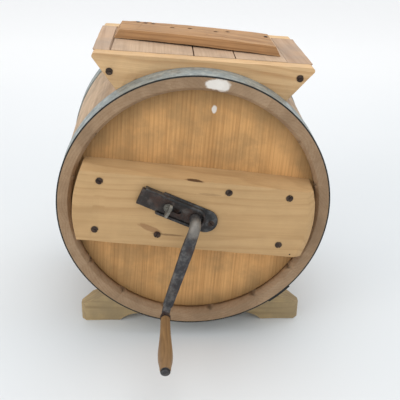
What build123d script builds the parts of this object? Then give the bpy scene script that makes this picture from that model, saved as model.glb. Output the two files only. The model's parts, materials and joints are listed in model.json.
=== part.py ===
"""Table-top barrel butter churn: a coopered tub lying on two feet, turned by a crank.

The barrel lies along Y with its crank end to the front (-Y). X is to the right seen from the
front and Z is up. The origin is on the floor, under the middle of the whole churn.
Lengths are millimetres, angles are degrees, and places along the barrel are measured
backwards from its front end.
"""

import os
from math import cos, degrees, radians, sin, tan

from build123d import *

os.makedirs("parts", exist_ok=True)

# ---- barrel ----
axis_height = 190.0          # crank axis above the floor
barrel_length = 253.0
end_radius = 165.5           # outside of the staves at the front end
taper = 0.0193               # growth of the radius per millimetre towards the rear
stave_thickness = 16.0
rim_bevel = 4.0              # bevel inside both open ends
lean = 3.4                   # the barrel sits turned clockwise on its feet
mouth_left, mouth_right = -30.0, 28.0       # sides of the opening, clockwise from the top
mouth_edges = (mouth_left, -13.8, 8.0, mouth_right)
full_staves = 13             # staves that run the whole length

head_recess = 14.0
head_thickness = 14.0
head_fit = 3.6               # depth of a head in the groove of the staves
head_joints = (-65.0, 46.0)

hoop_width = 34.0
hoop_thickness = 1.7
lap_length = 34.0            # overlap of a hoop's riveted ends
front_lap, rear_lap = 128.0, -47.0
hoop_rivet_radius, hoop_rivet_height, hoop_rivet_rounding = 3.5, 1.6, 1.2
hoop_rivet_shares = (0.25, 0.75)            # places along the lap

# ---- crossbars ----
bar_tilt = 5.7
bar_width = 92.0
bar_ridge = 6.0              # height of the front crossbar's back top edge over its front one
bar_thickness = 30.0
bar_radius = 146.5
bar_bevel = (9.0, 5.0)       # of the right-hand end, along the face and down the end
bar_screws = ((-116, 34.5), (36.6, 34.5), (110, 34.5), (-118, -29.7), (-42.6, -29.7), (107.5, -29.7))
screw_head, screw_shank, screw_length = 4.25, 2.2, 36.0
slot_width, slot_depth = 1.2, 1.0
hole_ease = 0.05             # between a screw or a bush and its hole
bush_radius = 9.0
bearing_depth, bearing_floor = 10.0, 2.0

# ---- hopper ----
rim_height = 176.0           # above the crank axis, square to the leaned barrel
rim_half_width = 131.5
end_half_width = 135.0       # the front and rear boards stand out past the side boards
rim_corner = 4.0
flare = 38.8                 # of the side boards, from the upright
hopper_front, hopper_back = 34.5, 215.0
board_thickness = 20.0
board_foot = 120.0           # within the barrel, until the boards are coped to it
left_board, right_board = 15.0, 24.0
hopper_screws = ((-109.5, 155.5), (113.5, 162.5))
hopper_screw_length = 40.0

# ---- lid ----
lid_thickness = 14.0
lid_gap = 1.0                # to the front and rear boards
left_gap, right_gap = 2.6, 0.5
lid_joints = (-12.0, 38.0)
joint_gap = 1.2
batten_thickness = 12.0
batten_bow = 1.8
batten_slope = 7.0           # run of the bevelled ends
batten_plan = ((-111, 119), (96, 80), (96, 157), (-111, 178))
lid_nails = ((-83, 172), (-73, 168), (-63, 166), (-38, 145), (-15, 147), (18, 139), (34, 146), (83, 137))
nail_head, nail_shank, nail_length = 2.4, 1.1, 22.0
nail_head_height = 1.0

# ---- feet ----
foot_half_width = 151.0
foot_thickness = 28.0
foot_end_height = 26.0
foot_slope = 22.0
foot_place = 38.0            # outer face of a foot, from its end of the barrel
pad_inner = 98.0
arch_height = 13.0
arch_shoulder, arch_curve = (68.0, 11.0), (87.0, 7.5)
saddle_half_width = 80.0     # of the stretch that the barrel is let into
foot_bevels = (6.0, 14.0)    # of the ends, at the outer and the inner face
foot_screw_across, foot_screw_seat, foot_screw_length = 50.0, 11.5, 29.0

# ---- crank ----
arm_tilt = 16.5
arm_length = 124.0
arm_place = -44.0
arm_upper = (15.5, 9.5)      # width and thickness below the elbow
arm_lower = (12.5, 9.0)
arm_corner = 3.6
arm_shoulder = 30.0          # the arm swells from here up to the elbow
elbow_radius = 10.0
lower_elbow_radius = 5.3     # of the rod itself
stub_radius, stub_corner = 7.0, 6.86
shaft_radius = 6.0
groove_radius = 4.5
square_side = 8.4
square_end = 214.0
end_pin_radius, end_pin_length = 4.0, 18.0
running_gap = 0.05
pin_radius = 3.0
collar_radius, collar_length = 6.4, 4.0
grip_length = 95.0
grip_root, grip_waist, grip_swell, grip_tip = 5.6, 6.2, 8.2, 6.4
waist_share, swell_share = 0.35, 0.86        # places along the grip
washer_radius, washer_thickness = 5.6, 1.3
rivet_radius, rivet_height, rivet_rounding = 4.6, 2.8, 2.2

# ---- crank bearing and latch ----
latch_tilt = 24.3
plate_thickness = 3.0
plate_half_width = 15.0
plate_left, plate_round = -46.0, 14.0
rim_inner, rim_outer, rim_rise = 9.9, 13.2, 8.5
rail_left = -68.0            # the upper rim runs on past the plate, beside the latch's tail
part_gap = 0.3               # between pieces that slide or turn past each other
latch_thickness = 3.0
prong_reach = 5.0
tail_left, tail_half_width = -72.0, 10.5
latch_travel = 14.0
wing_place, wing_tilt = -35.0, 27.0
wing_shank, wing_depth, wing_collar, wing_neck = 2.5, 9.0, 5.5, 3.0
wing_collar_height, wing_neck_height, wing_lift = 2.0, 6.0, 4.0
wing_half_length, wing_half_height, wing_thickness = 9.0, 6.0, 3.6
plate_screws = ((21.5, 0), (-24.0, 0))
plate_screw_head, plate_screw_shank, plate_screw_length = 3.8, 2.0, 20.0

# ---- dasher ----
hub_side = 36.0
hub_end_gap = 3.0
bore_ease = 0.2
paddle_reach = 132.0
paddle_thickness = 9.0
paddle_tenon = 6.0
paddle_end_gap = 5.0
paddle_hole_radius = 10.0
hole_middle, hole_spacing = 70.0, (44.0, 42.0)   # radius of the middle of the holes
pin_places = ((70.0, 170.0), (80.0, 180.0))     # staggered where pins would cross
dasher_pin_radius = 2.5

# ---- lengths that follow ----
inside_front = head_recess + head_thickness
inside_back = barrel_length - inside_front
bar_face = head_recess - bar_thickness
rear_face = barrel_length - bar_face
plate_face = bar_face - plate_thickness
latch_back = plate_face - part_gap
latch_face = latch_back - latch_thickness
stub_place = latch_face - part_gap
collar_place = arm_place - elbow_radius
grip_start = collar_place - collar_length - part_gap
grip_end = grip_start - grip_length
washer_face = grip_end - part_gap - washer_thickness
crank_reach = washer_face - rivet_height
front = -(rear_face + crank_reach) / 2       # Y of the barrel's front end
slant = tan(radians(flare))
mouth_front = hopper_front + board_thickness
mouth_back = hopper_back - board_thickness
left_inner = -rim_half_width + left_board / cos(radians(flare))
right_inner = rim_half_width - right_board / cos(radians(flare))
lap_angle = degrees(lap_length / end_radius)
barrel_axis = Axis((0, front, axis_height), (0, 1, 0))
downward = (Align.CENTER, Align.CENTER, Align.MAX)
onward = (Align.CENTER, Align.CENTER, Align.MIN)


def stave_radius(place):
    """Outside radius of the staves."""
    return end_radius + taper * place


def upward(tilt):
    """Unit vector turned clockwise from the vertical, seen from the front."""
    return Vector(sin(radians(tilt)), 0, cos(radians(tilt)))


def rightward(tilt):
    """Unit vector turned clockwise from the horizontal, seen from the front."""
    return Vector(cos(radians(tilt)), 0, -sin(radians(tilt)))


def facing(place, tilt=lean):
    """Plane square to the crank axis and facing the front: x to the right, y upward."""
    return Plane(origin=(0, front + place, axis_height), x_dir=rightward(tilt), z_dir=(0, -1, 0))


def rearward(place, tilt=lean):
    """Plane square to the crank axis and facing the rear: x to the left, y upward."""
    return Plane(origin=(0, front + place, axis_height), x_dir=-rightward(tilt), z_dir=(0, 1, 0))


def through_axis(tilt):
    """Plane through the crank axis: x outward at the tilt, y backward."""
    return Plane(origin=(0, front, axis_height), x_dir=upward(tilt), z_dir=-rightward(tilt))


def level(height):
    """Plane parallel to the hopper's rim: x to the right, y backward."""
    origin = Vector(0, front, axis_height) + upward(lean) * height
    return Plane(origin=origin, x_dir=rightward(lean), z_dir=upward(lean))


def add_turned(outline, tilt=lean, arc=360.0, mode=Mode.ADD):
    """Turn an outline of (radius, place) points about the crank axis."""
    with BuildSketch(through_axis(tilt)) as section:
        with BuildLine():
            Polyline(*outline, close=True)
        make_face()
    revolve(section.sketch, axis=barrel_axis, revolution_arc=arc, mode=mode)


def cope_to_barrel():
    """Cut the open part to the outside of the barrel."""
    start, stop = -20.0, barrel_length + 20.0
    outline = ((0, start), (stave_radius(start), start), (stave_radius(stop), stop), (0, stop))
    add_turned(outline, mode=Mode.SUBTRACT)


def add_screws(head, shank, length):
    """Slotted countersunk screws, each with its face in the plane of its location."""
    Cylinder(shank, length, align=downward)
    Cone(shank, head, head - shank, align=downward)
    Box(3 * head, slot_width, slot_depth, align=downward, mode=Mode.SUBTRACT)


def bore_screws(head, shank, length):
    """Countersunk holes for add_screws, at the same locations."""
    Cylinder(shank + hole_ease, length, align=downward, mode=Mode.SUBTRACT)
    Cone(shank + hole_ease, head + hole_ease, head - shank, align=downward, mode=Mode.SUBTRACT)


def bore_straight(shank, length):
    """Straight holes going back from the planes of the locations."""
    Cylinder(shank + hole_ease, length, align=downward, mode=Mode.SUBTRACT)


def at_hopper_screws(work):
    """Do the work at the screws that hold the end boards to the side boards."""
    for plane, side in ((facing(hopper_front), 1), (rearward(hopper_back), -1)):
        with Locations(plane):
            with Locations(*[(side * across, height) for across, height in hopper_screws]):
                work(screw_head, screw_shank, hopper_screw_length)


def at_foot_screws(work):
    """Do the work at the screws driven up through the feet into the staves."""
    foot_middle = foot_place + foot_thickness / 2
    for place in (foot_middle, barrel_length - foot_middle):
        underside = Plane(origin=(0, front + place, foot_screw_seat), z_dir=(0, 0, -1))
        with Locations(underside):
            with Locations((-foot_screw_across, 0), (foot_screw_across, 0)):
                work(screw_head, screw_shank, foot_screw_length)


# ---- staves ----
def stave_inside(place, step=0.0):
    """Point of a stave's section on its inner face, or a step outside it."""
    return (stave_radius(place) - stave_thickness + step, place)


stave_outline = [
    (stave_radius(0), 0),
    (stave_radius(barrel_length), barrel_length),
    stave_inside(barrel_length, rim_bevel),
    stave_inside(barrel_length - rim_bevel),
    stave_inside(inside_back + head_thickness),
    stave_inside(inside_back + head_thickness, head_fit),
    stave_inside(inside_back, head_fit),
    stave_inside(inside_back),
    stave_inside(inside_front),
    stave_inside(inside_front, head_fit),
    stave_inside(head_recess, head_fit),
    stave_inside(head_recess),
    stave_inside(rim_bevel),
    stave_inside(0, rim_bevel),
]
full_width = (360 - mouth_right + mouth_left) / full_staves
stave_edges = [mouth_right + n * full_width for n in range(full_staves)]
stave_edges += [360 + edge for edge in mouth_edges]

for number, (start, end) in enumerate(zip(stave_edges, stave_edges[1:]), 1):
    with BuildPart() as stave:
        add_turned(stave_outline, tilt=lean + start, arc=end - start)
        if number > full_staves:
            with BuildSketch(facing(mouth_back)):
                with Locations((0, end_radius)):
                    Rectangle(2 * end_radius, end_radius)
            extrude(amount=mouth_back - mouth_front, mode=Mode.SUBTRACT)
        if start < 200 and end > 160:
            at_foot_screws(bore_screws)
    stave.part.label = f"stave_{number:02d}"
    export_step(stave.part, f"parts/stave_{number:02d}.step")

# ---- heads, each of three planks ----
head_edges = (-end_radius, *head_joints, end_radius)
plank_names = ("left", "middle", "right")
rear_head_face = inside_back + head_thickness
heads = (
    ("front", inside_front, inside_front, head_thickness, facing(head_recess, bar_tilt)),
    ("rear", rear_head_face, inside_back + bearing_depth, bearing_depth, rearward(rear_head_face)),
)

for end, back_face, bore_start, bore_depth, outer_face in heads:
    head_radius = stave_radius(back_face - head_thickness) - stave_thickness + head_fit - hole_ease
    for name, low, high in zip(plank_names, head_edges, head_edges[1:]):
        with BuildPart() as plank:
            with BuildSketch(facing(back_face)):
                Circle(head_radius)
                with Locations(((low + high) / 2, 0)):
                    Rectangle(high - low, 3 * head_radius, mode=Mode.INTERSECT)
            extrude(amount=head_thickness)
            if name == "middle":
                with BuildSketch(facing(bore_start)):
                    Circle(bush_radius + hole_ease)
                extrude(amount=bore_depth, mode=Mode.SUBTRACT)
            with BuildSketch(outer_face):
                with Locations(*bar_screws):
                    Circle(screw_shank + hole_ease)
            extrude(amount=bar_thickness - screw_length, mode=Mode.SUBTRACT)
        plank.part.label = f"{end}_head_{name}"
        export_step(plank.part, f"parts/{end}_head_{name}.step")

# ---- hoops, riveted where their ends lap ----
hoops = (("front", 0.0, lean + front_lap), ("rear", barrel_length - hoop_width, lean + rear_lap))


def hoop_outline(near, layer):
    """Section of one layer of a hoop whose front edge is near."""
    far = near + hoop_width
    inner, outer = layer * hoop_thickness, (layer + 1) * hoop_thickness
    return (
        (stave_radius(near) + inner, near),
        (stave_radius(near) + outer, near),
        (stave_radius(far) + outer, far),
        (stave_radius(far) + inner, far),
    )


for end, near, lap in hoops:
    with BuildPart() as hoop:
        add_turned(hoop_outline(near, 0))
        add_turned(hoop_outline(near, 1), tilt=lap, arc=lap_angle)
    hoop.part.label = f"{end}_hoop"
    export_step(hoop.part, f"parts/{end}_hoop.step")

with BuildPart() as hoop_rivets:
    for end, near, lap in hoops:
        seat = stave_radius(near + hoop_width / 2) + 2 * hoop_thickness + 3 * hole_ease
        for share in hoop_rivet_shares:
            tilt = lap + share * lap_angle
            foot_point = through_axis(tilt).from_local_coords((seat, near + hoop_width / 2, 0))
            with Locations(Plane(origin=foot_point, z_dir=upward(tilt))):
                Cylinder(hoop_rivet_radius, hoop_rivet_height, align=onward)
            circles = hoop_rivets.edges(Select.LAST).filter_by(GeomType.CIRCLE)
            top_edge = circles.sort_by(Axis(foot_point, upward(tilt)))[-1]
            fillet(top_edge, radius=hoop_rivet_rounding)
hoop_rivets.part.label = "hoop_rivets"
export_step(hoop_rivets.part, "parts/hoop_rivets.step")

# ---- crossbars over the heads ----
with BuildPart() as front_crossbar:
    with BuildSketch(facing(head_recess, bar_tilt)):
        Circle(bar_radius)
        with Locations((0, bar_ridge / 2)):
            Rectangle(2 * bar_radius, bar_width + bar_ridge, mode=Mode.INTERSECT)
        Circle(bush_radius + hole_ease, mode=Mode.SUBTRACT)
    extrude(amount=bar_thickness)
    with BuildSketch(through_axis(bar_tilt)):
        with BuildLine():
            Polyline(
                (bar_width / 2, bar_face),
                (bar_width / 2 + bar_ridge, head_recess),
                (bar_width / 2 + bar_ridge, bar_face),
                close=True,
            )
        make_face()
    extrude(amount=2 * bar_radius, both=True, mode=Mode.SUBTRACT)
    face_arcs = front_crossbar.edges().filter_by(GeomType.CIRCLE).group_by(Axis.Y)[0]
    chamfer(face_arcs.sort_by(Axis.X)[-1], length=bar_bevel[1], length2=bar_bevel[0])
    with Locations(facing(bar_face, bar_tilt)):
        with Locations(*bar_screws):
            bore_screws(screw_head, screw_shank, screw_length)
    with Locations(facing(bar_face, latch_tilt)):
        with Locations(*plate_screws):
            bore_straight(plate_screw_shank, plate_screw_length)
        with Locations((wing_place, 0)):
            bore_straight(wing_shank, wing_depth)
front_crossbar.part.label = "front_crossbar"
export_step(front_crossbar.part, "parts/front_crossbar.step")

rear_bar_radius = bar_radius + taper * inside_back
with BuildPart() as rear_crossbar:
    with BuildSketch(rearward(rear_head_face)):
        Circle(rear_bar_radius)
        Rectangle(2 * rear_bar_radius, bar_width, mode=Mode.INTERSECT)
    extrude(amount=bar_thickness)
    with Locations(rearward(rear_face)):
        with Locations(*bar_screws):
            bore_screws(screw_head, screw_shank, screw_length)
rear_crossbar.part.label = "rear_crossbar"
export_step(rear_crossbar.part, "parts/rear_crossbar.step")

with BuildPart(facing(bar_face, bar_tilt)) as front_crossbar_screws:
    with Locations(*bar_screws):
        add_screws(screw_head, screw_shank, screw_length)
front_crossbar_screws.part.label = "front_crossbar_screws"
export_step(front_crossbar_screws.part, "parts/front_crossbar_screws.step")

with BuildPart(rearward(rear_face)) as rear_crossbar_screws:
    with Locations(*bar_screws):
        add_screws(screw_head, screw_shank, screw_length)
rear_crossbar_screws.part.label = "rear_crossbar_screws"
export_step(rear_crossbar_screws.part, "parts/rear_crossbar_screws.step")

# ---- hopper ----
foot_shift = (rim_height - board_foot) * slant

for end, back_face in (("front", mouth_front), ("rear", hopper_back)):
    with BuildPart() as end_board:
        with BuildSketch(facing(back_face)) as outline:
            with BuildLine():
                Polyline(
                    (-end_half_width, rim_height),
                    (end_half_width, rim_height),
                    (end_half_width - foot_shift, board_foot),
                    (foot_shift - end_half_width, board_foot),
                    close=True,
                )
            make_face()
            fillet(outline.vertices().group_by(Axis.Y)[-1], radius=rim_corner)
        extrude(amount=board_thickness)
        cope_to_barrel()
        at_hopper_screws(bore_screws)
    end_board.part.label = f"hopper_{end}_board"
    export_step(end_board.part, f"parts/hopper_{end}_board.step")

for side, outer, inner, shift in (
    ("left", -rim_half_width, left_inner, foot_shift),
    ("right", rim_half_width, right_inner, -foot_shift),
):
    with BuildPart() as side_board:
        with BuildSketch(facing(mouth_back)):
            with BuildLine():
                Polyline(
                    (outer, rim_height),
                    (inner, rim_height),
                    (inner + shift, board_foot),
                    (outer + shift, board_foot),
                    close=True,
                )
            make_face()
        extrude(amount=mouth_back - mouth_front)
        cope_to_barrel()
        at_hopper_screws(bore_screws)
    side_board.part.label = f"hopper_{side}_board"
    export_step(side_board.part, f"parts/hopper_{side}_board.step")

with BuildPart() as hopper_screw_set:
    at_hopper_screws(add_screws)
hopper_screw_set.part.label = "hopper_screws"
export_step(hopper_screw_set.part, "parts/hopper_screws.step")

# ---- lid ----
lid_left, lid_right = left_inner + left_gap, right_inner - right_gap
lid_front, lid_back = mouth_front + lid_gap, mouth_back - lid_gap
lid_base = rim_height - lid_thickness
lid_slope = lid_thickness * slant
lid_tops = (lid_left, *lid_joints, lid_right)
lid_feet = (lid_left + lid_slope, *lid_joints, lid_right - lid_slope)
batten_top = rim_height + batten_thickness
batten_left, batten_right = batten_plan[0][0], batten_plan[1][0]
batten_middle = (batten_left + batten_right) / 2
nail_plane = level(batten_top)

for number, name in enumerate(plank_names):
    low = joint_gap / 2 if number > 0 else 0
    high = joint_gap / 2 if number < 2 else 0
    with BuildPart() as lid_plank:
        with BuildSketch(facing(lid_back)):
            with BuildLine():
                Polyline(
                    (lid_tops[number] + low, rim_height),
                    (lid_tops[number + 1] - high, rim_height),
                    (lid_feet[number + 1] - high, lid_base),
                    (lid_feet[number] + low, lid_base),
                    close=True,
                )
            make_face()
        extrude(amount=lid_back - lid_front)
        with Locations(nail_plane):
            with Locations(*lid_nails):
                bore_straight(nail_shank, nail_length)
    lid_plank.part.label = f"lid_plank_{name}"
    export_step(lid_plank.part, f"parts/lid_plank_{name}.step")

with BuildPart() as lid_batten:
    with BuildSketch(facing(lid_back)):
        with BuildLine():
            low_left, low_right = (batten_left, rim_height), (batten_right, rim_height)
            high_left = (batten_left + batten_slope, batten_top)
            high_right = (batten_right - batten_slope, batten_top)
            ThreePointArc(low_left, (batten_middle, rim_height + batten_bow), low_right)
            Line(low_right, high_right)
            ThreePointArc(high_right, (batten_middle, batten_top + batten_bow), high_left)
            Line(high_left, low_left)
        make_face()
    extrude(amount=lid_back - lid_front)
    with BuildSketch(level(rim_height)):
        with BuildLine():
            Polyline(*batten_plan, close=True)
        make_face()
    extrude(amount=2 * batten_thickness, mode=Mode.INTERSECT)
    with Locations(nail_plane):
        with Locations(*lid_nails):
            bore_straight(nail_shank, nail_length)
            Cylinder(nail_head + hole_ease, batten_thickness, align=onward, mode=Mode.SUBTRACT)
lid_batten.part.label = "lid_batten"
export_step(lid_batten.part, "parts/lid_batten.step")

with BuildPart(nail_plane) as lid_nail_set:
    with Locations(*lid_nails):
        Cylinder(nail_shank, nail_length, align=downward)
        Cylinder(nail_head, nail_head_height, align=onward)
lid_nail_set.part.label = "lid_nails"
export_step(lid_nail_set.part, "parts/lid_nails.step")

# ---- feet ----
slope_run = foot_half_width - saddle_half_width
slope_top = foot_end_height + slope_run * tan(radians(foot_slope))

for end, back_face in (("front", foot_place + foot_thickness), ("rear", barrel_length - foot_place)):
    with BuildPart() as foot:
        with BuildSketch(Plane(origin=(0, front + back_face, 0), x_dir=(1, 0, 0), z_dir=(0, -1, 0))):
            with BuildLine():
                Polyline(
                    (-pad_inner, 0),
                    (-foot_half_width, 0),
                    (-foot_half_width, foot_end_height),
                    (slope_run - foot_half_width, slope_top),
                    (foot_half_width - slope_run, slope_top),
                    (foot_half_width, foot_end_height),
                    (foot_half_width, 0),
                    (pad_inner, 0),
                )
                for side in (-1, 1):
                    curve = (side * arch_curve[0], arch_curve[1])
                    shoulder = (side * arch_shoulder[0], arch_shoulder[1])
                    ThreePointArc((side * pad_inner, 0), curve, shoulder)
                ThreePointArc((-arch_shoulder[0], arch_shoulder[1]), (0, arch_height), arch_shoulder)
            make_face()
        extrude(amount=foot_thickness)
        front_bevel, back_bevel = foot_bevels if end == "front" else foot_bevels[::-1]
        chamfer(foot.edges().filter_by(Axis.Z).group_by(Axis.Y)[0], length=front_bevel)
        chamfer(foot.edges().filter_by(Axis.Z).group_by(Axis.Y)[-1], length=back_bevel)
        cope_to_barrel()
        at_foot_screws(bore_screws)
    foot.part.label = f"{end}_foot"
    export_step(foot.part, f"parts/{end}_foot.step")

with BuildPart() as foot_screw_set:
    at_foot_screws(add_screws)
foot_screw_set.part.label = "foot_screws"
export_step(foot_screw_set.part, "parts/foot_screws.step")

# ---- crank bearing ----
with BuildPart() as crank_bracket:
    with BuildSketch(facing(bar_face, latch_tilt)):
        with Locations(((plate_left + plate_round) / 2, 0)):
            Rectangle(plate_round - plate_left, 2 * plate_half_width)
        with Locations((plate_round, 0)):
            Circle(plate_half_width)
        Circle(shaft_radius + running_gap, mode=Mode.SUBTRACT)
        with Locations((wing_place, 0)):
            Circle(wing_shank + running_gap, mode=Mode.SUBTRACT)
    extrude(amount=plate_thickness)
    with BuildSketch(facing(plate_face, latch_tilt)):
        with Locations((plate_left / 2, 0)):
            Rectangle(-plate_left, 2 * rim_outer)
        Circle(rim_outer)
        with Locations((plate_left / 2, 0)):
            Rectangle(-plate_left, 2 * rim_inner, mode=Mode.SUBTRACT)
        Circle(rim_inner, mode=Mode.SUBTRACT)
    extrude(amount=rim_rise - plate_thickness)
    with BuildSketch(facing(bar_face, latch_tilt)):
        rail_inner = tail_half_width + 2 * part_gap
        with Locations(((rail_left + plate_left) / 2, (rail_inner + rim_outer) / 2)):
            Rectangle(plate_left - rail_left + 2, rim_outer - rail_inner)
    extrude(amount=rim_rise)
    with Locations(facing(plate_face, latch_tilt)):
        with Locations(*plate_screws):
            bore_screws(plate_screw_head, plate_screw_shank, plate_screw_length)
crank_bracket.part.label = "crank_bracket"
export_step(crank_bracket.part, "parts/crank_bracket.step")

with BuildPart(facing(plate_face, latch_tilt)) as bracket_screws:
    with Locations(*plate_screws):
        add_screws(plate_screw_head, plate_screw_shank, plate_screw_length)
bracket_screws.part.label = "bracket_screws"
export_step(bracket_screws.part, "parts/bracket_screws.step")

with BuildPart() as shaft_bush:
    with BuildSketch(facing(inside_front)):
        Circle(bush_radius)
        Circle(shaft_radius + running_gap, mode=Mode.SUBTRACT)
    extrude(amount=inside_front - bar_face)
shaft_bush.part.label = "shaft_bush"
export_step(shaft_bush.part, "parts/shaft_bush.step")

with BuildPart() as rear_bearing:
    with BuildSketch(facing(inside_back + bearing_depth)):
        Circle(bush_radius)
    extrude(amount=bearing_depth)
    with BuildSketch(facing(inside_back + bearing_depth - bearing_floor)):
        Circle(end_pin_radius + running_gap)
    extrude(amount=bearing_depth, mode=Mode.SUBTRACT)
rear_bearing.part.label = "rear_bearing"
export_step(rear_bearing.part, "parts/rear_bearing.step")

# ---- latch that holds the crank's groove, and its wing screw ----
with BuildPart() as latch_plate:
    with BuildSketch(facing(latch_back, latch_tilt)):
        latch_half_width = rim_inner - part_gap
        fork_radius = groove_radius + part_gap
        slot_middle = wing_place + latch_travel / 2
        with Locations((plate_left / 2, 0)):
            Rectangle(-plate_left, 2 * latch_half_width)
        Circle(latch_half_width)
        Circle(fork_radius, mode=Mode.SUBTRACT)
        with Locations((latch_half_width / 2, 0)):
            Rectangle(latch_half_width, 2 * fork_radius, mode=Mode.SUBTRACT)
        with Locations((prong_reach + latch_half_width / 2, 0)):
            Rectangle(latch_half_width, 2 * latch_half_width, mode=Mode.SUBTRACT)
        with Locations((slot_middle, 0)):
            SlotCenterToCenter(latch_travel, 2 * (wing_shank + part_gap), mode=Mode.SUBTRACT)
    extrude(amount=latch_thickness)
    with BuildSketch(facing(bar_face - part_gap, latch_tilt)):
        with Locations(((tail_left + plate_left - part_gap) / 2, 0)):
            Rectangle(plate_left - part_gap - tail_left, 2 * tail_half_width)
    extrude(amount=bar_face - part_gap - latch_face)
    with BuildSketch(facing(latch_back, latch_tilt)):
        with Locations((plate_left - part_gap / 2, 0)):
            Rectangle(2 * part_gap, 2 * latch_half_width)
    extrude(amount=latch_thickness)
latch_plate.part.label = "latch_plate"
export_step(latch_plate.part, "parts/latch_plate.step")

wing_middle = Vector(0, front + stub_place, axis_height) + rightward(latch_tilt) * wing_place
wing_plane = Plane(origin=wing_middle, x_dir=upward(wing_tilt), z_dir=-rightward(wing_tilt))
with BuildPart(Plane(origin=wing_middle, z_dir=(0, -1, 0))) as wing_screw:
    Cylinder(wing_shank, bar_face - stub_place + wing_depth - part_gap, align=downward)
    Cylinder(wing_collar, wing_collar_height, align=onward)
    Cylinder(wing_neck, wing_neck_height, align=onward)
    with BuildSketch(wing_plane):
        with Locations((0, -wing_lift - wing_half_height)):
            Ellipse(wing_half_length, wing_half_height)
    extrude(amount=wing_thickness / 2, both=True)
wing_screw.part.label = "wing_screw"
export_step(wing_screw.part, "parts/wing_screw.step")

# ---- crank: one bent iron rod with the shaft, the arm and the pin for the grip ----
def arm_section(distance):
    """Plane across the arm, at a distance from the crank axis."""
    origin = Vector(0, front + arm_place, axis_height) - upward(arm_tilt) * distance
    return Plane(origin=origin, x_dir=rightward(arm_tilt), z_dir=-upward(arm_tilt))


crank_plane = through_axis(arm_tilt)
shaft_outline = (
    (0, arm_place + elbow_radius),
    (stub_radius, arm_place + elbow_radius),
    (stub_radius, stub_place),
    (groove_radius, stub_place),
    (groove_radius, plate_face),
    (shaft_radius, plate_face),
    (shaft_radius, inside_front + hub_end_gap),
    (0, inside_front + hub_end_gap),
)
halfway = elbow_radius * (1 - sin(radians(45)))      # of the bends, from their tangents
with BuildPart() as crank:
    add_turned(shaft_outline, tilt=arm_tilt)
    with BuildSketch(facing(square_end, arm_tilt)):
        Rectangle(square_side, square_side)
    extrude(amount=square_end - inside_front - hub_end_gap)
    with BuildSketch(facing(square_end + end_pin_length, arm_tilt)):
        Circle(end_pin_radius)
    extrude(amount=end_pin_length)
    with BuildSketch(facing(arm_place + elbow_radius, arm_tilt)):
        Circle(stub_radius)
    with BuildLine(crank_plane):
        ThreePointArc(
            (0, arm_place + elbow_radius),
            (-halfway, arm_place + halfway),
            (-elbow_radius, arm_place),
        )
    sweep()
    with BuildSketch(arm_section(elbow_radius)):
        RectangleRounded(2 * stub_radius, 2 * stub_radius, stub_corner)
    with BuildSketch(arm_section(arm_shoulder)):
        RectangleRounded(*arm_upper, arm_corner)
    loft(ruled=True)
    with BuildSketch(arm_section(arm_shoulder)):
        RectangleRounded(*arm_upper, arm_corner)
    with BuildSketch(arm_section(arm_length - elbow_radius)):
        RectangleRounded(*arm_lower, arm_corner)
    loft(ruled=True)
    with BuildSketch(arm_section(arm_length - elbow_radius)):
        Circle(lower_elbow_radius)
    with BuildLine(crank_plane):
        ThreePointArc(
            (elbow_radius - arm_length, arm_place),
            (halfway - arm_length, arm_place - halfway),
            (-arm_length, collar_place),
        )
    sweep()
    with BuildSketch(facing(collar_place, arm_tilt)):
        with Locations((0, -arm_length)):
            Circle(pin_radius)
    extrude(amount=collar_place - washer_face)
    pin_end = crank_plane.from_local_coords((-arm_length, washer_face, 0))
    with Locations(Plane(origin=pin_end, z_dir=(0, -1, 0))):
        Cylinder(rivet_radius, rivet_height, align=onward)
    rivet_edge = crank.edges().filter_by(GeomType.CIRCLE).sort_by(Axis.Y)[0]
    fillet(rivet_edge, radius=rivet_rounding)
crank.part.label = "crank"
export_step(crank.part, "parts/crank.step")

# ---- collar, grip and riveted washer on the crank's pin ----
def pin_ring(start, length, radius, bore):
    """Sketch plane work for a ring round the grip's pin, from start towards the front."""
    with BuildSketch(facing(start, arm_tilt)) as ring:
        with Locations((0, -arm_length)):
            Circle(radius)
            Circle(bore, mode=Mode.SUBTRACT)
    extrude(ring.sketch, amount=length)


with BuildPart() as crank_collar:
    pin_ring(collar_place, collar_length, collar_radius, pin_radius)
crank_collar.part.label = "crank_collar"
export_step(crank_collar.part, "parts/crank_collar.step")

with BuildPart() as grip_washer:
    pin_ring(washer_face + washer_thickness, washer_thickness, washer_radius, pin_radius)
grip_washer.part.label = "grip_washer"
export_step(grip_washer.part, "parts/grip_washer.step")

with BuildPart() as grip:
    bore = pin_radius + running_gap
    with BuildSketch(crank_plane):
        with BuildLine():
            Line((bore - arm_length, grip_start), (grip_root - arm_length, grip_start))
            Spline(
                (grip_root - arm_length, grip_start),
                (grip_waist - arm_length, grip_start - waist_share * grip_length),
                (grip_swell - arm_length, grip_start - swell_share * grip_length),
                (grip_tip - arm_length, grip_end),
            )
            Polyline(
                (grip_tip - arm_length, grip_end),
                (bore - arm_length, grip_end),
                (bore - arm_length, grip_start),
            )
        make_face()
    revolve(axis=Axis(pin_end, (0, 1, 0)))
grip.part.label = "grip"
export_step(grip.part, "parts/grip.step")

# ---- dasher: four bored paddles in a square hub on the crank's square shaft ----
hub_front, hub_back = inside_front + hub_end_gap, inside_back - hub_end_gap
paddle_front, paddle_back = inside_front + paddle_end_gap, inside_back - paddle_end_gap
paddle_root = hub_side / 2 - paddle_tenon
tenon_middle = hub_side / 2 - paddle_tenon / 2


def bore_dasher_pins(quarter, mode=Mode.SUBTRACT, ease=hole_ease):
    """Pins, or their holes, through the hub and the tenon of one paddle."""
    turn = arm_tilt + 90 * quarter
    for place in pin_places[quarter % 2]:
        middle = through_axis(turn).from_local_coords((tenon_middle, place, 0))
        with Locations(Plane(origin=middle, z_dir=rightward(turn))):
            Cylinder(dasher_pin_radius + ease, hub_side, mode=mode)


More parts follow.
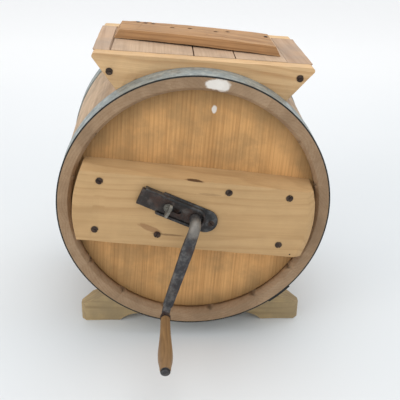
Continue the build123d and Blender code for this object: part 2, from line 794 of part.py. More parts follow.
with BuildPart() as dasher_hub:
    with BuildSketch(facing(hub_back, arm_tilt)):
        Rectangle(hub_side, hub_side)
        Rectangle(square_side + bore_ease, square_side + bore_ease, mode=Mode.SUBTRACT)
        with PolarLocations(tenon_middle, 4):
            Rectangle(paddle_tenon, paddle_thickness, mode=Mode.SUBTRACT)
    extrude(amount=hub_back - hub_front)
    for quarter in range(4):
        bore_dasher_pins(quarter)
dasher_hub.part.label = "dasher_hub"
export_step(dasher_hub.part, "parts/dasher_hub.step")

for quarter in range(4):
    with BuildPart() as paddle:
        with BuildSketch(through_axis(arm_tilt + 90 * quarter)):
            with Locations(((paddle_root + paddle_reach) / 2, (paddle_front + paddle_back) / 2)):
                Rectangle(paddle_reach - paddle_root, paddle_back - paddle_front)
            with Locations((hole_middle, (paddle_front + paddle_back) / 2)):
                with GridLocations(*hole_spacing, 2, 4):
                    Circle(paddle_hole_radius, mode=Mode.SUBTRACT)
        extrude(amount=paddle_thickness / 2, both=True)
        bore_dasher_pins(quarter)
    paddle.part.label = f"dasher_paddle_{quarter + 1}"
    export_step(paddle.part, f"parts/dasher_paddle_{quarter + 1}.step")

with BuildPart() as dasher_pins:
    for quarter in range(4):
        bore_dasher_pins(quarter, mode=Mode.ADD, ease=0)
dasher_pins.part.label = "dasher_pins"
export_step(dasher_pins.part, "parts/dasher_pins.step")
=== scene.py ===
"""Looks of a table-top barrel butter churn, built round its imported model.

Lengths are metres in the model's own frame: -Y is the crank end, Z is up.
"""

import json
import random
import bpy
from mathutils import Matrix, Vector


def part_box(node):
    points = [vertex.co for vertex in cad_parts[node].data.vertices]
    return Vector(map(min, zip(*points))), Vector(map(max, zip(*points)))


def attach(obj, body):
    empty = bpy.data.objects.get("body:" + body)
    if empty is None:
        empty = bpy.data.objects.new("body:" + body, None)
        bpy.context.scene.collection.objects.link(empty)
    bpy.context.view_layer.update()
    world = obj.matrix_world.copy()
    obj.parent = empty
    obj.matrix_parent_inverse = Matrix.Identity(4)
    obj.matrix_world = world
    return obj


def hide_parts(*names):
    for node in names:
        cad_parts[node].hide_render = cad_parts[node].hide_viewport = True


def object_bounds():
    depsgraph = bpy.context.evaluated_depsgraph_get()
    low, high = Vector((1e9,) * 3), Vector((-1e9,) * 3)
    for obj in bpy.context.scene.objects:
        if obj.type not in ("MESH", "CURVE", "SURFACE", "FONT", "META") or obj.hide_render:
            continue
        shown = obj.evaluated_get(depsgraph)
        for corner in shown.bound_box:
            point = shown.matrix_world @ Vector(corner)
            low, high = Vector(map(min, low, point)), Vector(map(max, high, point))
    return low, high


bl_info = {
    "name": "Butter Churn",
    "version": (1, 0, 0),
    "blender": (4, 5, 0),
    "location": "3D View > Sidebar > Churn",
    "description": "Builds the finished pieces and the studio of a barrel butter churn",
    "category": "Object",
}

from math import cos, pi, radians, sin

import bmesh
import bpy
import numpy as np
from bpy.props import FloatProperty, FloatVectorProperty, IntProperty, PointerProperty
from mathutils import Matrix, Vector, noise

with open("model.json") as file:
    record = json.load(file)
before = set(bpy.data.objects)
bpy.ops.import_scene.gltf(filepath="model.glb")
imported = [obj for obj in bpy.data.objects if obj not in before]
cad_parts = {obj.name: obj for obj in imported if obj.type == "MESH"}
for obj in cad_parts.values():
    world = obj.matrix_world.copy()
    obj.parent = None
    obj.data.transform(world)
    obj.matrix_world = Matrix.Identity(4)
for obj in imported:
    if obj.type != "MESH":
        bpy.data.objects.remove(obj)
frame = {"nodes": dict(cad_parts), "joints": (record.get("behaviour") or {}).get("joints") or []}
nodes = frame["nodes"]
cad_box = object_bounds()
joints = {joint["name"]: joint for joint in frame["joints"]}
crank_axis = Vector(joints["crank_turn"]["pos_m"])
grip_axis = Vector(joints["grip_turn"]["pos_m"])
rim_up = Vector(joints["lid_lift"]["axis"])           # the barrel sits turned on its feet
rim_right = Vector((rim_up.z, 0, -rim_up.x))
backward = Vector((0, 1, 0))
sideways = Vector((1, 0, 0))
bar_tilt = radians(5.7)
bar_right = Vector((cos(bar_tilt), 0, -sin(bar_tilt)))
bar_up = Vector((sin(bar_tilt), 0, cos(bar_tilt)))
bar_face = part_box("front_crossbar")[0].y
head_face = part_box("front_head_middle")[0].y
chime_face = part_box("stave_01")[0].y
camera_place = Vector((-0.0349, -0.76885, 0.5473))
camera_right = Vector((0.99862, -0.04722, 0.02303))
camera_back = Vector((-0.0525, -0.8997, 0.4334))      # from the churn towards the camera


def paint(red, green, blue):
    """Colour as it shows on a screen, turned into the light values that shaders take."""
    values = [c / 12.92 if c <= 0.04045 else ((c + 0.055) / 1.055) ** 2.4 for c in (red, green, blue)]
    return (*values, 1.0)


def on_bar(across, up):
    """Point on the face of the front crossbar."""
    return crank_axis + bar_right * across + bar_up * up + backward * (bar_face - crank_axis.y)


def on_end(across, up, place):
    """Point in the barrel's leaned frame."""
    return crank_axis + rim_right * across + rim_up * up + backward * (place - crank_axis.y)


# ---- shader recipes ----
class Bench:
    """A node tree under construction."""

    def feed(self, socket, value):
        """Join a socket to another node's output, or give it a plain value."""
        if isinstance(value, bpy.types.NodeSocket):
            self.tree.links.new(value, socket)
        elif value is not None:
            socket.default_value = value


class Recipe(Bench):
    """A material under construction: short ways to add nodes and join them."""

    def __init__(self, name):
        self.material = bpy.data.materials.new(name)
        self.material.use_nodes = True
        self.tree = self.material.node_tree
        self.shader = self.tree.nodes["Principled BSDF"]

    def add(self, kind, *values, out=0, **settings):
        """Add a node, give its inputs in order, and return one of its outputs."""
        node = self.tree.nodes.new(kind)
        for key, value in settings.items():
            setattr(node, key, value)
        inputs = [socket for socket in node.inputs if socket.enabled]
        for socket, value in zip(inputs, values):
            self.feed(socket, value)
        return node.outputs[out]

    def calc(self, operation, *values, clamp=False):
        return self.add("ShaderNodeMath", *values, operation=operation, use_clamp=clamp)

    def vector(self, operation, *values, out=0):
        return self.add("ShaderNodeVectorMath", *values, operation=operation, out=out)

    def cloud(self, place, scale, detail=2.0, rough=0.5):
        """Soft noise from 0 to 1."""
        node = self.tree.nodes.new("ShaderNodeTexNoise")
        self.feed(node.inputs["Vector"], place)
        node.inputs["Scale"].default_value = scale
        node.inputs["Detail"].default_value = detail
        node.inputs["Roughness"].default_value = rough
        return node.outputs["Fac"]

    def span(self, value, low, high, start=0.0, stop=1.0):
        """Map a value from low..high to start..stop, smoothly and held at the ends."""
        node = self.tree.nodes.new("ShaderNodeMapRange")
        node.interpolation_type = "SMOOTHSTEP"
        for name, number in (("From Min", low), ("From Max", high), ("To Min", start), ("To Max", stop)):
            node.inputs[name].default_value = number
        self.feed(node.inputs["Value"], value)
        return node.outputs["Result"]

    def ramp(self, value, stops):
        """Colour or grey ramp of (place, colour) stops."""
        node = self.tree.nodes.new("ShaderNodeValToRGB")
        elements = node.color_ramp.elements
        while len(elements) < len(stops):
            elements.new(0.5)
        for element, (place, colour) in zip(elements, stops):
            element.position = place
            element.color = colour if isinstance(colour, tuple) else (colour, colour, colour, 1.0)
        self.feed(node.inputs["Fac"], value)
        return node.outputs["Color"]

    def mix(self, share, first, second):
        node = self.tree.nodes.new("ShaderNodeMix")
        node.data_type = "RGBA"
        self.feed(node.inputs[0], share)
        self.feed(node.inputs[6], first)
        self.feed(node.inputs[7], second)
        return node.outputs[2]

    def spot(self, place, centre, size, turn=0.0, edge=0.35, ragged=0.5):
        """Mask of 1 inside an ellipsoid about a centre, turned about Y, with a ragged edge."""
        mapped = self.add("ShaderNodeMapping", place, tuple(centre), (0.0, turn, 0.0), tuple(size),
                          vector_type="TEXTURE")
        reach = self.vector("LENGTH", mapped, out=1)
        rough = self.calc("MULTIPLY", self.calc("SUBTRACT", self.cloud(place, 260.0, 3.0), 0.5), ragged)
        return self.span(self.calc("ADD", reach, rough), 1.0 - edge, 1.0, 1.0, 0.0)

    def from_axis(self, place):
        """Distance from the crank axis."""
        flat = self.vector("MULTIPLY", self.vector("SUBTRACT", place, tuple(crank_axis)), (1.0, 0.0, 1.0))
        return self.vector("LENGTH", flat, out=1)

    def bump(self, height, strength, distance):
        node = self.tree.nodes.new("ShaderNodeBump")
        node.inputs["Strength"].default_value = strength
        node.inputs["Distance"].default_value = distance
        self.feed(node.inputs["Height"], height)
        self.feed(self.shader.inputs["Normal"], node.outputs["Normal"])

    def finish(self, colour, roughness, metallic=0.0, specular=0.4):
        self.feed(self.shader.inputs["Base Color"], colour)
        self.feed(self.shader.inputs["Roughness"], roughness)
        self.shader.inputs["Metallic"].default_value = metallic
        self.shader.inputs["Specular IOR Level"].default_value = specular
        return self.material


def timber(name, light, dark, weather, ring=0.0045, ring_share=0.5, fibre_share=0.35, streak_share=0.4,
           weather_share=0.35, tone_share=0.16, marks=(), painted_rim_shade=None, roughness=0.62):
    """Sawn softwood: growth rings of the log, fibres, streaks, weathering and marks, and, when given, painted
    shade that darkens it towards the rim.
    """
    wood = Recipe(name)
    log = wood.add("ShaderNodeAttribute", out=1, attribute_name="grain")
    tone = wood.add("ShaderNodeAttribute", out=2, attribute_name="tone")
    place = wood.add("ShaderNodeTexCoord", out=3)
    drift = wood.cloud(wood.vector("MULTIPLY", log, (3.0, 16.0, 16.0)), 1.0, 2.0)
    radius = wood.vector("LENGTH", wood.vector("MULTIPLY", log, (0.0, 1.0, 1.0)), out=1)
    radius = wood.calc("ADD", radius, wood.calc("MULTIPLY", drift, 4.5 * ring))
    year = wood.calc("FRACT", wood.calc("DIVIDE", radius, ring))
    rings = wood.ramp(year, ((0.0, 0.12), (0.5, 0.3), (0.84, 1.0), (0.93, 0.75), (1.0, 0.12)))
    fibre = wood.cloud(wood.vector("MULTIPLY", log, (14.0, 620.0, 620.0)), 1.0, 3.0, 0.6)
    streak = wood.cloud(wood.vector("MULTIPLY", log, (3.0, 110.0, 110.0)), 1.0, 4.0, 0.6)
    blotch = wood.cloud(place, 14.0, 3.0)
    patchy = wood.calc("MULTIPLY", wood.span(blotch, 0.3, 0.7, 0.55, 1.2), ring_share)
    depth = wood.calc("MULTIPLY", rings, patchy)
    for part, share in ((fibre, fibre_share), (streak, streak_share)):
        depth = wood.calc("ADD", depth, wood.calc("MULTIPLY", wood.calc("SUBTRACT", part, 0.5), 2.0 * share))
    depth = wood.calc("ADD", depth, wood.calc("MULTIPLY", tone, tone_share))
    depth = wood.calc("ADD", depth, 0.15, clamp=True)
    colour = wood.mix(depth, light, dark)
    worn = wood.calc("MULTIPLY", wood.span(wood.cloud(place, 22.0, 5.0, 0.62), 0.38, 0.68), weather_share)
    colour = wood.mix(worn, colour, weather)
    # Painted shade: the colour darkens towards the rim of the head, standing in for the shadow that the chime
    # casts on it.
    if painted_rim_shade:
        start, stop, tint, share = painted_rim_shade
        edge = wood.calc("ADD", wood.from_axis(place), wood.calc("MULTIPLY", blotch, 0.012))
        colour = wood.mix(wood.span(edge, start, stop, 0.0, share), colour, tint)
    for centre, size, turn, tint, share in marks:
        mask = wood.calc("MULTIPLY", wood.spot(place, centre, size, turn), share)
        colour = wood.mix(mask, colour, tint)
    height = wood.calc("SUBTRACT", wood.calc("MULTIPLY", fibre, 0.8), wood.calc("MULTIPLY", rings, 0.4))
    wood.bump(height, 0.3, 0.0006)
    return wood.finish(colour, wood.span(streak, 0.2, 0.8, roughness - 0.08, roughness + 0.12), specular=0.25)


def iron(name, base, worn, rust, rust_share=0.5, metallic=0.55, roughness=0.48, marks=(),
         front_edge=None):
    """Old iron: dark skin, rubbed bright in patches, rust in the hollows, and painted shade along a front
    edge.
    """
    metal = Recipe(name)
    place = metal.add("ShaderNodeTexCoord", out=3)
    patches = metal.cloud(place, 95.0, 5.0, 0.65)
    fine = metal.cloud(place, 900.0, 4.0, 0.7)
    colour = metal.mix(metal.span(patches, 0.42, 0.72), base, worn)
    rusty = metal.span(metal.cloud(place, 60.0, 6.0, 0.7), 0.48, 0.66, 0.0, rust_share)
    colour = metal.mix(rusty, colour, rust)
    pitted = (*(0.45 * c for c in base[:3]), 1.0)
    colour = metal.mix(metal.span(fine, 0.45, 0.75, 0.0, 0.45), colour, pitted)
    for centre, size, turn, tint, share in marks:
        mask = metal.calc("MULTIPLY", metal.spot(place, centre, size, turn, edge=0.7), share)
        colour = metal.mix(mask, colour, tint)
    # Painted shade: near the front edge the colour goes almost black, standing in for the shadow in the gap
    # between the hoop and the staves.
    if front_edge is not None:
        depth = metal.vector("DOT_PRODUCT", place, (0.0, 1.0, 0.0), out=1)
        gap_shade_share = metal.span(depth, front_edge + 0.0004, front_edge + 0.0018, 0.95, 0.0)
        colour = metal.mix(gap_shade_share, colour, painted_gap_shade)
    metal.bump(metal.calc("ADD", patches, metal.calc("MULTIPLY", fine, 0.6)), 0.35, 0.0004)
    sheen = metal.span(patches, 0.3, 0.7, roughness + 0.14, roughness - 0.1)
    return metal.finish(colour, sheen, metallic, 0.5)


# ---- mesh work ----
def merged_copy(node):
    """A node's mesh with its doubles merged and its flat faces made whole."""
    work = bmesh.new()
    work.from_mesh(nodes[node].data)
    bmesh.ops.remove_doubles(work, verts=work.verts, dist=2e-6)
    bmesh.ops.dissolve_limit(work, angle_limit=radians(0.2), verts=work.verts, edges=work.edges)
    return work


def new_piece(name, mesh):
    piece = bpy.data.objects.new(name, mesh)
    bpy.context.scene.collection.objects.link(piece)
    return piece


def settle(piece):
    """Turn a piece's modifiers into its mesh."""
    bpy.context.view_layer.update()
    depsgraph = bpy.context.evaluated_depsgraph_get()
    mesh = bpy.data.meshes.new_from_object(piece.evaluated_get(depsgraph))
    piece.modifiers.clear()
    piece.data = mesh
    mesh.name = piece.name


def soften(piece, sharp=35.0):
    piece.data.shade_smooth()
    piece.data.set_sharp_from_angle(angle=radians(sharp))


def hand_over(piece, material, body, slot, *replaced):
    """Give a piece its finish and put it in place of the model's nodes."""
    piece.data.materials.clear()
    piece.data.materials.append(material)
    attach(piece, body)
    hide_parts(*replaced)


def lay_grain(piece, along, across, pith, slope=0.0, seed=0):
    """Store each point's place in the log that the board was sawn from, and the board's tone."""
    chance = random.Random(seed)
    along, across = along.normalized(), across.normalized()
    depth = along.cross(across)
    count = len(piece.data.vertices)
    points = np.empty(3 * count, np.float32)
    piece.data.vertices.foreach_get("co", points)
    points = points.reshape(-1, 3)
    centre = (points.min(0) + points.max(0)) / 2
    log = (points - centre) @ np.array([along, across, depth], np.float32).T
    log[:, 1] += pith[0] + slope * log[:, 0]
    log[:, 2] += pith[1]
    log[:, 0] += chance.uniform(0, 5)
    grain = piece.data.attributes.new("grain", "FLOAT_VECTOR", "POINT")
    grain.data.foreach_set("vector", log.astype(np.float32).ravel())
    tone = piece.data.attributes.new("tone", "FLOAT", "POINT")
    tone.data.foreach_set("value", np.full(count, chance.uniform(-1, 1), np.float32))


def worn_board(name, node, wear, wave=0.0, along=None, step=0.01, segments=2, change=None):
    """A board with rubbed edges: uneven rounding, and a slight wave where it is cut into lengths."""
    work = merged_copy(node)
    if along is not None:
        reach = [vertex.co.dot(along) for vertex in work.verts]
        place, stop = min(reach) + step, max(reach) - 0.4 * step
        while place < stop:
            bmesh.ops.bisect_plane(work, geom=work.verts[:] + work.edges[:] + work.faces[:],
                                   plane_co=along * place, plane_no=along, dist=1e-6)
            place += step
    work.normal_update()
    sharp = {edge for edge in work.edges
             if len(edge.link_faces) == 2 and edge.calc_face_angle(0) > radians(28)}
    if wave:
        rubbed = {vertex for edge in sharp for vertex in edge.verts}
        moves = {v: v.normal * -wave * (0.5 + 0.5 * noise.noise(v.co * 45.0)) for v in rubbed}
        for vertex, move in moves.items():
            vertex.co += move
    if change:
        for vertex in work.verts:
            vertex.co += change(vertex.co)
    weight = work.edges.layers.float.new("bevel_weight_edge")
    for edge in work.edges:
        middle = (edge.verts[0].co + edge.verts[1].co) / 2
        edge[weight] = 0.62 + 0.38 * noise.noise(middle * 70.0) if edge in sharp else 0.0
    mesh = bpy.data.meshes.new(name)
    work.to_mesh(mesh)
    work.free()
    piece = new_piece(name, mesh)
    bevel = piece.modifiers.new("Rubbed edges", "BEVEL")
    bevel.limit_method = "WEIGHT"
    bevel.width = wear
    bevel.segments = segments
    weighted = piece.modifiers.new("Flat faces", "WEIGHTED_NORMAL")
    weighted.keep_sharp = True
    soften(piece)
    settle(piece)
    return piece


def forged(name, node, grain_size, rounds=6, dents=0.0):
    """A forging or casting: the node's form skinned again and eased, so that no edge is sharp."""
    work = merged_copy(node)
    mesh = bpy.data.meshes.new(name)
    work.to_mesh(mesh)
    work.free()
    piece = new_piece(name, mesh)
    skin = piece.modifiers.new("Skin", "REMESH")
    skin.mode = "VOXEL"
    skin.voxel_size = grain_size
    ease = piece.modifiers.new("Ease", "SMOOTH")
    ease.factor = 0.5
    ease.iterations = rounds
    settle(piece)
    dented = [vertex.co - vertex.normal * dents * (0.5 + 0.5 * noise.noise(vertex.co * 160.0))
              for vertex in piece.data.vertices]
    piece.data.vertices.foreach_set("co", np.array(dented, np.float32).ravel())
    piece.data.shade_smooth()
    return piece


def turned(name, profile, centre, segments):
    """Wood or metal turned about an axis along Y, from (place, radius) points."""
    work = bmesh.new()
    rings = []
    for place, radius in profile:
        turns = [2 * pi * n / segments for n in range(segments)]
        rings.append([work.verts.new((centre.x + radius * cos(t), place, centre.z + radius * sin(t)))
                      for t in turns])
    for near, far in zip(rings, rings[1:] + rings[:1]):
        for n in range(segments):
            work.faces.new((near[n], near[n - 1], far[n - 1], far[n]))
    bmesh.ops.recalc_face_normals(work, faces=work.faces)
    mesh = bpy.data.meshes.new(name)
    work.to_mesh(mesh)
    work.free()
    return new_piece(name, mesh)


# ---- fixings, repeated by geometry nodes ----
def fixing_places(node):
    """Head point and outward direction of each fixing in a node that holds several."""
    work = merged_copy(node)
    unseen, places = set(work.verts), []
    while unseen:
        group, edge_of_group = set(), [unseen.pop()]
        while edge_of_group:
            vertex = edge_of_group.pop()
            group.add(vertex)
            for edge in vertex.link_edges:
                other = edge.other_vert(vertex)
                if other in unseen:
                    unseen.discard(other)
                    edge_of_group.append(other)
        points = np.array([vertex.co for vertex in group])
        middle = (points.min(0) + points.max(0)) / 2
        longest = np.linalg.svd(points - points.mean(0))[2][0]
        heights = (points - middle) @ longest
        spread = np.linalg.norm((points - middle) - np.outer(heights, longest), axis=1)
        if spread[heights > 0].mean() < spread[heights < 0].mean():
            longest, heights = -longest, -heights
        places.append((Vector(middle + longest * heights.max()), Vector(longest)))
    work.free()
    return sorted(places, key=lambda place: tuple(place[0]))


def fixing_points(name, places, seed):
    """Mesh of bare points that carry the direction and the turn of each fixing."""
    chance = random.Random(seed)
    mesh = bpy.data.meshes.new(name)
    mesh.from_pydata([tuple(point) for point, _ in places], [], [])
    outward = mesh.attributes.new("outward", "FLOAT_VECTOR", "POINT")
    for number, (_, direction) in enumerate(places):
        outward.data[number].vector = direction
    turn = mesh.attributes.new("turn", "FLOAT", "POINT")
    for number in range(len(places)):
        turn.data[number].value = chance.uniform(0, pi)
    return mesh


class NodeBench(Bench):
    """A geometry node tree under construction, which sets one fixing on every point."""

    def __init__(self, name, sizes):
        self.tree = bpy.data.node_groups.new(name, "GeometryNodeTree")
        face = self.tree.interface
        face.new_socket(name="Geometry", in_out="INPUT", socket_type="NodeSocketGeometry")
        for size, value in sizes:
            socket = face.new_socket(name=size, in_out="INPUT", socket_type="NodeSocketFloat")
            socket.subtype = "DISTANCE"
            socket.default_value = value
        face.new_socket(name="Material", in_out="INPUT", socket_type="NodeSocketMaterial")
        face.new_socket(name="Geometry", in_out="OUTPUT", socket_type="NodeSocketGeometry")
        self.given = self.tree.nodes.new("NodeGroupInput").outputs

    def add(self, kind, settings=(), **inputs):
        node = self.tree.nodes.new(kind)
        for key, value in dict(settings).items():
            setattr(node, key, value)
        for key, value in inputs.items():
            self.feed(node.inputs[key.replace("_", " ")], value)
        return node

    def calc(self, operation, first, second):
        node = self.tree.nodes.new("ShaderNodeMath")
        node.operation = operation
        for socket, value in zip(node.inputs, (first, second)):
            self.feed(socket, value)
        return node.outputs[0]

    def triple(self, x, y, z):
        return self.add("ShaderNodeCombineXYZ", X=x, Y=y, Z=z).outputs[0]

    def moved(self, shape, height=None, scale=None):
        inputs = {"Geometry": shape}
        if height is not None:
            inputs["Translation"] = self.triple(0.0, 0.0, height)
        if scale is not None:
            inputs["Scale"] = scale
        return self.add("GeometryNodeTransform", **inputs).outputs[0]

    def joined(self, *shapes):
        node = self.tree.nodes.new("GeometryNodeJoinGeometry")
        for shape in shapes:
            self.tree.links.new(shape, node.inputs[0])
        return node.outputs[0]

    def set_on_points(self, fixing):
        """Stand the fixing on each point, make it real and give it its finish."""
        outward = self.add("GeometryNodeInputNamedAttribute", {"data_type": "FLOAT_VECTOR"}, Name="outward")
        turn = self.add("GeometryNodeInputNamedAttribute", {"data_type": "FLOAT"}, Name="turn")
        stand = self.add("FunctionNodeAlignRotationToVector", {"axis": "Z"}, Vector=outward.outputs[0])
        spin = self.add("FunctionNodeAxisAngleToRotation", Angle=turn.outputs[0])
        both = self.add("FunctionNodeRotateRotation", {"rotation_space": "LOCAL"},
                        Rotation=stand.outputs[0], Rotate_By=spin.outputs[0])
        copies = self.add("GeometryNodeInstanceOnPoints", Points=self.given["Geometry"], Instance=fixing,
                          Rotation=both.outputs[0])
        real = self.add("GeometryNodeRealizeInstances", Geometry=copies.outputs[0])
        dressed = self.add("GeometryNodeSetMaterial", Geometry=real.outputs[0],
                           Material=self.given["Material"])
        out = self.tree.nodes.new("NodeGroupOutput")
        self.tree.links.new(dressed.outputs[0], out.inputs[0])
        return self.tree


def slotted_screw_tree():
    """Countersunk screw with a slot, its face at the point."""
    bench = NodeBench("Slotted screws", (
        ("Head radius", 0.00425), ("Shank radius", 0.0022), ("Length", 0.036), ("Slot width", 0.0012),
        ("Slot depth", 0.001)))
    head, shank, length = (bench.given[name] for name in ("Head radius", "Shank radius", "Length"))
    taper = bench.calc("SUBTRACT", head, shank)
    down = bench.calc("MULTIPLY", taper, -1.0)
    cone = bench.add("GeometryNodeMeshCone", Vertices=32, Radius_Top=head, Radius_Bottom=shank, Depth=taper)
    cone = bench.moved(cone.outputs[0], down)
    slot = bench.add("GeometryNodeMeshCube", Size=bench.triple(
        bench.calc("MULTIPLY", head, 3.0), bench.given["Slot width"],
        bench.calc("MULTIPLY", bench.given["Slot depth"], 2.0)))
    cut = bench.add("GeometryNodeMeshBoolean", {"operation": "DIFFERENCE", "solver": "EXACT"})
    bench.tree.links.new(cone, cut.inputs["Mesh 1"])
    bench.tree.links.new(slot.outputs[0], cut.inputs["Mesh 2"])
    rod_length = bench.calc("SUBTRACT", length, taper)
    rod = bench.add("GeometryNodeMeshCylinder", Vertices=20, Radius=shank, Depth=rod_length)
    middle = bench.calc("MULTIPLY", bench.calc("ADD", length, taper), -0.5)
    return bench.set_on_points(bench.joined(cut.outputs[0], bench.moved(rod.outputs[0], middle)))


def domed_fixing_tree():
    """Nail, rivet or peg: a low dome on a straight shank, its underside at the point."""
    sizes = (("Head radius", 0.0024), ("Head height", 0.001), ("Shank radius", 0.0011), ("Length", 0.022))
    bench = NodeBench("Domed fixings", sizes)
    head, height, shank, length = (bench.given[name] for name, _ in sizes)
    ball = bench.add("GeometryNodeMeshUVSphere", Segments=28, Rings=14, Radius=1.0)
    dome = bench.moved(ball.outputs[0], scale=bench.triple(head, head, height))
    smooth = bench.add("GeometryNodeSetShadeSmooth", Geometry=dome)
    rod = bench.add("GeometryNodeMeshCylinder", Vertices=20, Radius=shank, Depth=length)
    rod = bench.moved(rod.outputs[0], bench.calc("MULTIPLY", length, -0.5))
    return bench.set_on_points(bench.joined(smooth.outputs[0], rod))


def set_fixings(node, kind, tree, places, sizes, finish, seed, slot, body="barrel"):
    """One plain mesh of fixings at the places, made by the tree, in place of a node."""
    name, material = f"{node}_{kind}", finish_of(finish)
    piece = new_piece(name, fixing_points(name, places, seed))
    modifier = piece.modifiers.new("Fixings", "NODES")
    modifier.node_group = tree
    sockets = {item.name: item.identifier for item in tree.interface.items_tree if item.in_out == "INPUT"}
    for size, value in sizes.items():
        modifier[sockets[size]] = value
    modifier[sockets["Material"]] = material
    settle(piece)
    hand_over(piece, material, body, slot, node)


# ---- settings ----
class ChurnTimber(bpy.types.PropertyGroup):
    """Sizes and colours of the wooden pieces."""

    rubbed_edge: FloatProperty(name="Rubbed edge", description="Rounding of the worn edges", default=0.0016,
                               min=0.0, unit="LENGTH")
    joint_edge: FloatProperty(name="Joint edge", description="Rounding of edges in tight joints",
                              default=0.0005, min=0.0, unit="LENGTH")
    edge_wave: FloatProperty(name="Edge wave", description="How far worn edges stray inwards", default=0.0012,
                             min=0.0, unit="LENGTH")
    turns: IntProperty(name="Grip facets", description="Facets round a turned piece", default=56, min=12)
    ring_width: FloatProperty(name="Ring width", description="Width of a growth ring", default=0.0042,
                              min=0.001, unit="LENGTH")
    head_light: FloatVectorProperty(name="Head, early wood", description="Light colour of the heads",
                                    subtype="COLOR", default=paint(0.85, 0.65, 0.42)[:3])
    head_dark: FloatVectorProperty(name="Head, late wood", description="Dark colour of the heads",
                                   subtype="COLOR", default=paint(0.63, 0.45, 0.26)[:3])
    bar_light: FloatVectorProperty(name="Crossbar, early wood", description="Light colour of the crossbars",
                                   subtype="COLOR", default=paint(0.775, 0.635, 0.455)[:3])
    bar_dark: FloatVectorProperty(name="Crossbar, late wood", description="Dark colour of the crossbars",
                                  subtype="COLOR", default=paint(0.62, 0.47, 0.30)[:3])
    stave_light: FloatVectorProperty(name="Stave, early wood", description="Light colour of the staves",
                                     subtype="COLOR", default=paint(0.82, 0.71, 0.59)[:3])
    stave_dark: FloatVectorProperty(name="Stave, late wood", description="Dark colour of the staves",
                                    subtype="COLOR", default=paint(0.56, 0.45, 0.35)[:3])
    weather: FloatVectorProperty(name="Weathering", description="Grey-brown of weathered wood",
                                 subtype="COLOR", default=paint(0.58, 0.50, 0.42)[:3])


class ChurnMetal(bpy.types.PropertyGroup):
    """Sizes and colours of the iron pieces."""

    screw_head: FloatProperty(name="Screw head", description="Radius of the wood screws' heads",
                              default=0.00425, unit="LENGTH")
    screw_shank: FloatProperty(name="Screw shank", description="Radius of the wood screws' shanks",
                               default=0.0022, unit="LENGTH")
    slot_width: FloatProperty(name="Slot", description="Width of the screws' slots", default=0.0012,
                              unit="LENGTH")
    nail_head: FloatProperty(name="Nail head", description="Radius of the nail heads", default=0.0024,
                             unit="LENGTH")
    rivet_head: FloatProperty(name="Rivet head", description="Radius of the hoop rivets", default=0.0035,
                              unit="LENGTH")
    iron_skin: FloatVectorProperty(name="Iron", description="Colour of the iron's dark skin", subtype="COLOR",
                                   default=paint(0.25, 0.25, 0.26)[:3])
    iron_worn: FloatVectorProperty(name="Worn iron", description="Colour where the iron is rubbed bright",
                                   subtype="COLOR", default=paint(0.44, 0.43, 0.42)[:3])
    rust: FloatVectorProperty(name="Rust", description="Colour of the rust", subtype="COLOR",
                              default=paint(0.30, 0.20, 0.15)[:3])
    zinc: FloatVectorProperty(name="Hoop", description="Colour of the hoops' dull zinc", subtype="COLOR",
                              default=paint(0.56, 0.59, 0.585)[:3])


class ChurnStudio(bpy.types.PropertyGroup):
    """The floor, the lights and the camera."""

    floor_size: FloatProperty(name="Floor", description="Half the width of the floor", default=5.0,
                              unit="LENGTH")
    sky: FloatProperty(name="Soft light", description="Strength of the light from all round", default=0.90)
    key: FloatProperty(name="Key light", description="Power of the large overhead light", default=9.0,
                       unit="POWER")
    fill: FloatProperty(name="Fill light", description="Power of the light from the left", default=8.0,
                        unit="POWER")
    lens: FloatProperty(name="Lens", description="Focal length in millimetres", default=58.82)


finishes = {}


def tint(values):
    return (*values, 1.0)


def finish_of(name):
    """The named finish, made on first use."""
    if name not in finishes:
        finishes[name] = FINISH_MAKERS[name](bpy.context.scene.churn_timber, bpy.context.scene.churn_metal)
    return finishes[name]


dark_hole = paint(0.16, 0.09, 0.06)
red_knot = paint(0.45, 0.26, 0.15)
dark_streak = paint(0.33, 0.22, 0.13)
residue = paint(0.90, 0.88, 0.85)
# almost black: painted shade for the gap at the hoop's front edge
painted_gap_shade = paint(0.07, 0.06, 0.05)
chime_brown = paint(0.46, 0.345, 0.22)
end_ring = (0.6, 0.022, 0.6)            # reaches past the whole end, and 22 mm down the staves
hoop_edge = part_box("front_hoop")[0].y


def screw_stains(node):
    """Marks of dark wood round the screws of a node."""
    return [(point, (0.0053, 0.012, 0.0053), 0.0, dark_hole, 0.6) for point, _ in fixing_places(node)]


def head_finish(wood, metal):
    return timber("Head pine", tint(wood.head_light), tint(wood.head_dark), paint(0.57, 0.46, 0.31),
                  ring=wood.ring_width, ring_share=0.36, fibre_share=0.5, streak_share=0.6,
                  weather_share=0.55,
                  # painted shade of the chime on the head, darker towards the rim
                  painted_rim_shade=(0.125, 0.152, paint(0.46, 0.37, 0.24), 0.5),
                  marks=[(on_end(0.014, 0.125, head_face), (0.0036, 0.006, 0.0056), 0.0, residue,
                          0.85)])


def bar_finish(wood, metal):
    marks = screw_stains("front_crossbar_screws")
    marks += [
        (on_bar(-0.052, -0.022), (0.018, 0.03, 0.0045), bar_tilt + 0.35, red_knot, 0.45),
        (on_bar(-0.030, -0.0285), (0.024, 0.03, 0.0016), bar_tilt, dark_streak, 0.5),
        (on_bar(-0.005, 0.0455), (0.013, 0.012, 0.0012), bar_tilt + 0.05, dark_streak, 0.95),
        (on_bar(0.015, 0.030), (0.016, 0.012, 0.0018), bar_tilt, dark_streak, 0.25),
        (on_bar(0.124, -0.042), (0.0014, 0.01, 0.0014), 0.0, dark_hole, 0.9),
    ]
    return timber("Crossbar wood", tint(wood.bar_light), tint(wood.bar_dark), paint(0.66, 0.54, 0.38),
                  ring=0.006, ring_share=0.34, fibre_share=0.25, streak_share=0.34, weather_share=0.3,
                  marks=marks)


